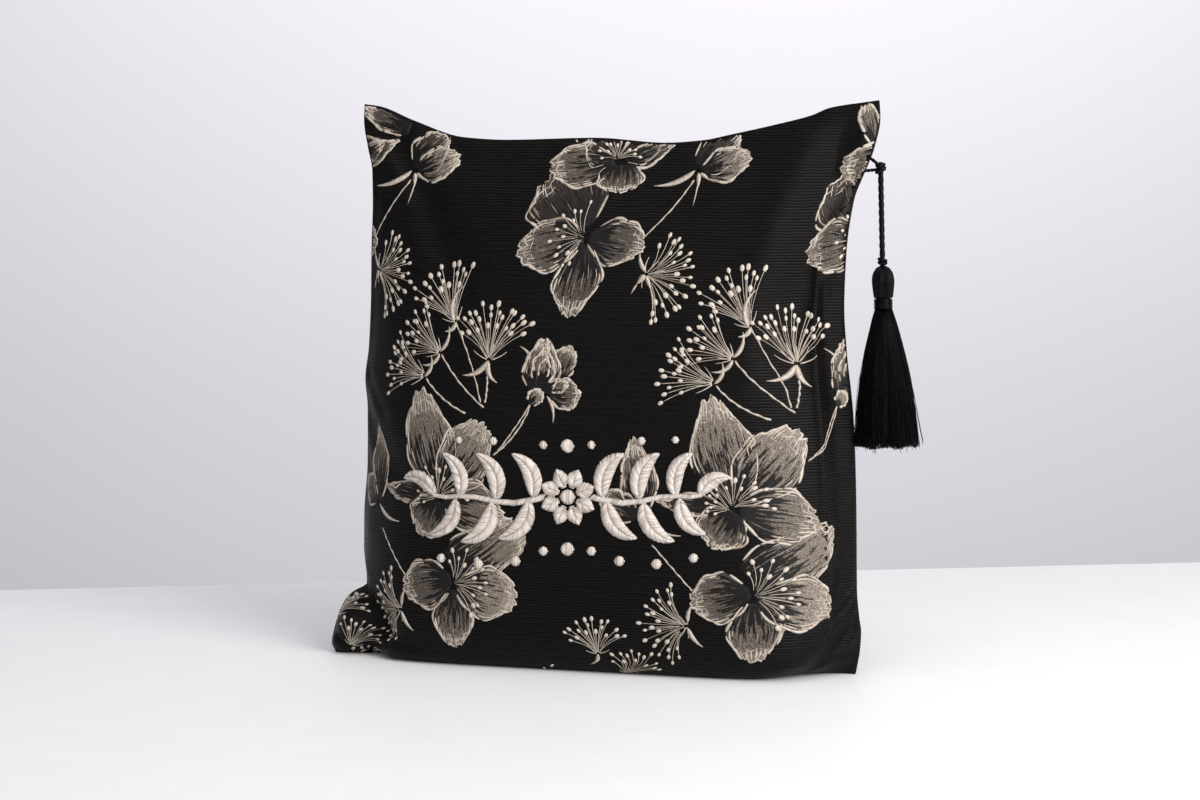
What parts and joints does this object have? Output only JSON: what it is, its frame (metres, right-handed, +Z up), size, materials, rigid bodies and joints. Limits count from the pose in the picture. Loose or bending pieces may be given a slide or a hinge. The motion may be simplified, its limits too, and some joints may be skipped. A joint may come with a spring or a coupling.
{
  "type": "tallit bag",
  "caption": "Soft zipped pouch of dark ribbed floral brocade, standing on its flattened base, with a silk tassel on the zip pull.",
  "frame": {"origin": "middle of the footprint of the cloth bag, on the surface that it stands on", "axes": "+Z up; -Y is the way the embroidered face looks, towards the camera of the picture; +X is to the right as that face is seen, the side that the tassel hangs on"},
  "size_m": [0.2623, 0.0719, 0.248],
  "materials": {
    "brocade": "ribbed, soft sheen",
    "zip_tape": "matt woven tape",
    "zip_coil": "gloss",
    "zip_metal": "gunmetal, satin",
    "silk": "lustrous thread"
  },
  "bodies": {
    "root": {"front_panel": "brocade", "back_panel": "brocade", "back_yoke": "brocade", "zip_tape": "zip_tape", "zip_coil": "zip_coil", "zip_slider": "zip_metal", "zip_pull": "zip_metal", "cord_loop": "silk", "cord_knot": "silk", "tassel_cord": "silk", "tassel_collar": "silk", "tassel": "silk", "tassel_binding": "silk"}
  },
  "joints": []
}
